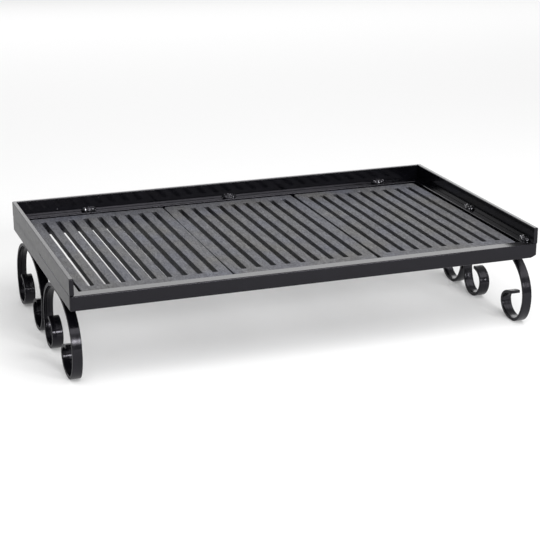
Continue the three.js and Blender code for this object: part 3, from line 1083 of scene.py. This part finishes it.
@dataclass
class Arch:
    """One forged arch: flat bar bent on the flat, its two feet curled in to scrolls."""

    node: str
    seed: int
    front: Foot
    back: Foot
    bar_width: float = 14.5 * MM
    scroll_width: float = 16.4 * MM
    thickness: float = 4.8 * MM
    edge: float = 0.8 * MM
    crown_flat: float = 24 * MM
    belly_height: float = 44.5 * MM
    foot_sweep: float = 35 * MM
    foot_flat: float = 6 * MM
    hammer: float = 0.2 * MM  # how far the forged faces stray
    wave: float = 110 * MM  # length of their longest stray
    slim: float = 0.22  # where the bar starts to widen, share of its length from the crown
    widening: float = 0.2  # over what share of its length it does
    tightest: float = 0.1 * MM  # least round of its edges, at the tips
    steps: int = 30  # stations in each bend
    arc: int = 4  # spans in each of its section's corners

    def bends(self, foot: Foot, half: float, height: float) -> np.ndarray:
        """The outer face of half the arch, from the crown to the scroll's tip.

        It is four quarter ellipses end to end: crown to belly, belly to foot, foot to the
        back of the scroll, and on to its tip. On each, a place is the centre plus the
        half-axes times the angle's cosine and sine, and the bar lies towards the centre.

        Args:
            foot: how the foot is bent.
            half: half the arch's spread.
            height: of the crown.

        Returns:
            Place along Y and Z, then direction into the bar, shape (n, 4).
        """
        middle = half - self.foot_sweep
        tip = middle - foot.reach + foot.hook
        flat, crown = self.foot_flat / 2, self.crown_flat / 2
        belly = self.belly_height
        table = np.array(
            [
                [crown, belly, half - crown, height - belly, QUARTER, 0],
                [middle + flat, belly, self.foot_sweep - flat, belly, 0, -QUARTER],
                [middle - flat, foot.curl, foot.reach - flat, foot.curl, -QUARTER, -2 * QUARTER],
                [tip, foot.curl, foot.hook, foot.rise, 2 * QUARTER, QUARTER],
            ]
        )
        u, z, a, b, start, stop = table.T[:, :, None]
        share = np.linspace(0, 1, self.steps + 1)
        angle = start + (stop - start) * share
        place = np.stack([u + a * np.cos(angle), z + b * np.sin(angle)], axis=-1)
        inward = unit(-np.stack([np.cos(angle) / a, np.sin(angle) / b], axis=-1))
        both = np.concatenate([place, inward], axis=-1)
        keep = np.ones(both.shape[:2], bool)
        keep[[1, 3], 0] = False
        return both[keep]

    def line(self, half: float, height: float) -> np.ndarray:
        """The outer face from the front scroll's tip to the back one's.

        A foot that strays moves by its full measure at the hearth and by nothing at the
        crown: by the square of the height left to the crown.

        Args:
            half: half the arch's spread.
            height: of the crown.

        Returns:
            Place along Y and Z, direction into the bar, and place along X, shape (n, 5).
        """
        parts = []
        for foot, end in ((self.front, End.FRONT), (self.back, End.BACK)):
            bend = self.bends(foot, half, height)
            stray = (1 - bend[:, 1:2] / height) ** 2
            bend = bend * [end.value, 1, end.value, 1]
            bend[:, :1] += foot.along * stray
            parts.append(np.concatenate([bend, foot.splay * stray], axis=1))
        return np.concatenate([parts[0][::-1], parts[1]])

    def rings(self, line: np.ndarray) -> np.ndarray:
        """The bar's section at each place of the line, about the arch's own middle.

        The section is a rectangle with round corners. Over the lower bends it grows from
        the bar's width to the scroll's by the smooth step 3 s squared less 2 s cubed, and it
        closes as a quarter circle over the edge's radius at each tip.

        Args:
            line: as line() gives it.

        Returns:
            Points, shape (n, points, 3).
        """
        step = np.linalg.norm(np.diff(line[:, :2], axis=0), axis=1)
        along = np.concatenate([[0], np.cumsum(step)])
        from_crown = np.abs(along / along[-1] - 0.5)
        spread = np.clip((from_crown - self.slim) / self.widening, 0, 1)
        spread = spread * spread * (3 - 2 * spread)
        width = self.bar_width + (self.scroll_width - self.bar_width) * spread
        width -= np.abs(smooth_waves(along, self.seed, self.wave, 2 * self.hammer))
        tip = np.minimum(along, along[-1] - along)
        close = np.clip(1 - tip / self.edge, 0, 1)
        inset = self.edge * (1 - np.sqrt(1 - close**2))
        radius = np.clip(self.edge - inset, self.tightest, None)[:, None]
        circle = round_rectangle(2, 2, 1, self.arc)
        corner = np.repeat(CORNERS, self.arc + 1, axis=0)
        half_width = (width / 2 - inset)[:, None]
        half_thick = (self.thickness / 2 - inset)[:, None]
        across = corner[:, 0] * (half_width - radius) + circle[:, 0] * radius
        depth = corner[:, 1] * (half_thick - radius) + circle[:, 1] * radius
        depth = depth + self.thickness / 2
        place = line[:, None, :2] + line[:, None, 2:4] * depth[..., None]
        return np.dstack([across + line[:, 4:], place])

    def build(self, enamel: Material) -> None:
        """Make the arch and dress it.

        Args:
            enamel: its material.
        """
        low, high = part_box(self.node)
        rings = self.rings(self.line((high.y - low.y) / 2, high.z))
        rings = rings + [(low.x + high.x) / 2, (low.y + high.y) / 2, 0]
        rings[..., 2] = np.clip(rings[..., 2], 0, None)
        piece = swept_solid(f"{self.node}_arch", rings)
        dress(piece, enamel, node=self.node)


# ---- beads


@dataclass
class WallBead:
    """A short fillet weld in the corner between a rail's top and a wall's foot."""

    node: str
    outward: tuple[int, int]  # direction from the grate's middle to the wall
    seed: int
    lumps: int = 3
    slender: float = 0.9  # 1 less the square of the radius's share that is left at the ends
    lean: float = 0.12  # how far the pools' edges curve along the bead
    ridge: float = 0.14  # depth of the valleys between pools, share of the radius
    rough: float = 0.12  # unevenness, share of the radius
    wave: float = 1.3  # its longest wave, with half the bead's length as 1
    stations: int = 48
    spans: int = 12

    def build(self, paint: Material) -> None:
        """Make the bead and dress it.

        Its section is a quarter circle in the corner. The radius falls to a third at the
        ends as a half ellipse does, swells once for each pool of weld, and is uneven by a
        seeded wave.

        Args:
            paint: its material.
        """
        low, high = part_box(self.node)
        out = np.array(self.outward)
        along_axis = np.array([out[1], -out[0]])
        size = np.array([high.x - low.x, high.y - low.y])
        length = abs(size @ along_axis)
        leg = abs(size @ out)
        middle = np.array([(low.x + high.x) / 2, (low.y + high.y) / 2]) + out * leg / 2
        share = np.linspace(-1, 1, self.stations)
        turn = np.linspace(0, QUARTER, self.spans)
        swell = np.sqrt(1 - self.slender * share**2)[:, None]
        crescent = share[:, None] + self.lean * np.sin(2 * turn)
        pool = np.abs(np.cos(QUARTER * self.lumps * (crescent + 1) + QUARTER))
        pools = 1 - self.ridge * (1 - pool)
        uneven = 1 + smooth_waves(share[:, None] + turn, self.seed, self.wave, self.rough)
        radius = np.minimum(leg * swell * pools * uneven, leg)
        floor = radius * np.cos(turn)
        rise = radius * np.sin(turn)
        root = np.zeros((self.stations, 1))
        floor, rise = np.hstack([root, floor]), np.hstack([root, rise])
        along = np.broadcast_to(share[:, None] * length / 2, floor.shape)
        plan = middle + along[..., None] * along_axis - floor[..., None] * out
        rings = np.dstack([plan, rise + low.z])
        piece = swept_solid(f"{self.node}_bead", rings)
        dress(piece, paint, node=self.node)


def paint_leg_beads(paint: Material) -> None:
    """Paint the beads between the arches and the rails, whose shape is right as it is.

    Args:
        paint: their material.
    """
    for name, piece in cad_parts.items():
        if name.endswith("_weld") and "_leg_" in name:
            piece.data.materials.clear()
            piece.data.materials.append(paint)
            LOG.info("%s: painted", name)


# ---- studio


@dataclass(frozen=True)
class SoftBox:
    """A rectangular light."""

    name: str
    place: Triple  # of its middle
    target: Triple  # what it faces
    size: tuple[float, float]  # width and height
    radiance: float  # brightness of its face, with an evenly white room as 1

    def hang(self) -> None:
        """Hang the light in its place, aimed at its target."""
        light = bpy.data.lights.new(self.name, "AREA")
        light.shape = "RECTANGLE"
        light.size, light.size_y = self.size
        light.energy = self.radiance * math.pi * self.size[0] * self.size[1]
        holder = bpy.data.objects.new(self.name, light)
        holder.location = self.place
        aim = Vector(self.target) - Vector(self.place)
        holder.rotation_euler = aim.to_track_quat("-Z", "Y").to_euler()
        bpy.context.scene.collection.objects.link(holder)


@dataclass
class Studio:
    """Pale floor, white room, soft boxes and the camera."""

    lens: float = 100.02  # millimetres
    sensor: float = 36.0  # width of the camera's frame, millimetres
    place: Triple = (-0.7437, -2.0885, 0.7967)
    turn: float = 19.734  # degrees to the right of straight ahead
    dip: float = 18.212  # degrees down
    roll: float = 0.068
    floor_half: float = 12.0
    room: float = 0.52  # brightness of the white room
    boxes: tuple[SoftBox, ...] = (
        SoftBox("overhead", (0.15, -1.0, 1.95), (0, 0, 0), (2.8, 1.6), 2.3),
        SoftBox("back", (0.7, 3.4, 1.35), (0, 0, 0.1), (5.4, 1.3), 1.7),
        SoftBox("left", (-3.0, 1.6, 0.9), (0, 0, 0.1), (4.0, 1.7), 0.8),
        SoftBox("front", (0.75, -2.6, 1.15), (0.1, 0, 0.08), (1.35, 0.45), 28),
    )

    def floor(self) -> None:
        """Lay the floor: one flat square."""
        corners = [(x * self.floor_half, y * self.floor_half, 0) for x, y in CORNERS]
        mesh = bpy.data.meshes.new("floor")
        mesh.from_pydata(corners, [], [(0, 1, 2, 3)])
        floor = bpy.data.objects.new("floor", mesh)
        bpy.context.scene.collection.objects.link(floor)
        floor.data.materials.append(PaleFloor().make())
        floor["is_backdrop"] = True

    def light(self) -> None:
        """Set the room's light and hang the soft boxes."""
        world = bpy.data.worlds.new("white_room")
        world.use_nodes = True
        background = world.node_tree.nodes["Background"]
        background.inputs["Color"].default_value = (1, 1, 1, 1)
        background.inputs["Strength"].default_value = self.room
        bpy.context.scene.world = world
        for box in self.boxes:
            box.hang()

    def camera(self) -> None:
        """Stand the camera where the view was taken from."""
        camera = bpy.data.cameras.new("camera")
        camera.lens = self.lens
        camera.sensor_width = self.sensor
        holder = bpy.data.objects.new("camera", camera)
        holder.location = self.place
        angles = (90 - self.dip, self.roll, -self.turn)
        holder.rotation_euler = [math.radians(angle) for angle in angles]
        bpy.context.scene.collection.objects.link(holder)
        bpy.context.scene.camera = holder

    def build(self) -> None:
        """Make the floor, the lights and the camera."""
        bpy.context.scene.view_settings.view_transform = "Standard"
        self.floor()
        self.light()
        self.camera()


# ---- main


LEFT_TAPER = 1.8 * MM  # of the left panel, whose left gap widens towards the front
PANEL_SEED, SEEDS_A_PANEL = 3, 20  # first seed of the slots, and seeds kept for each panel
LEG_SEED, BACK_BEAD_SEED, SIDE_BEAD_SEED = 40, 60, 70  # first seeds of the other pieces


def main() -> None:
    """Build the grate in order, from its frame to its studio."""
    logging.basicConfig(level=logging.INFO, format="%(name)s: %(message)s")
    cad_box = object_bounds()
    paint, hazy = FRAME_PAINT.make(), HAZY_PAINT.make()
    bead_paint, enamel = BEAD_PAINT.make(), LEG_ENAMEL.make()
    iron = BARE_IRON.make(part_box("centre_grate_panel")[1].z)
    Frame().build(cad_box, paint, hazy, DUSTY_PAINT.make())
    SeamFiller().build(hazy)
    Spatter().build(bead_paint)
    for index, place in enumerate(("left", "centre", "right")):
        seed = PANEL_SEED + SEEDS_A_PANEL * index
        taper = LEFT_TAPER if place == "left" else 0.0
        GratePanel(f"{place}_grate_panel", f"{place}_panel", seed, taper=taper).build(iron)
    for index, (place, feet) in enumerate(FEET.items()):
        Arch(f"{place}_leg", LEG_SEED + index, *feet).build(enamel)
    paint_leg_beads(bead_paint)
    for index, place in enumerate(("left", "centre", "right")):
        WallBead(f"back_wall_weld_{place}", (0, 1), BACK_BEAD_SEED + index).build(bead_paint)
    for side in Side:
        for index, end in enumerate(End):
            node = f"{side.name.lower()}_wall_weld_{end.name.lower()}"
            seed = SIDE_BEAD_SEED + 2 * index + side.value
            WallBead(node, (side.value, 0), seed).build(bead_paint)
    Studio().build()


if __name__ == "__main__":
    main()
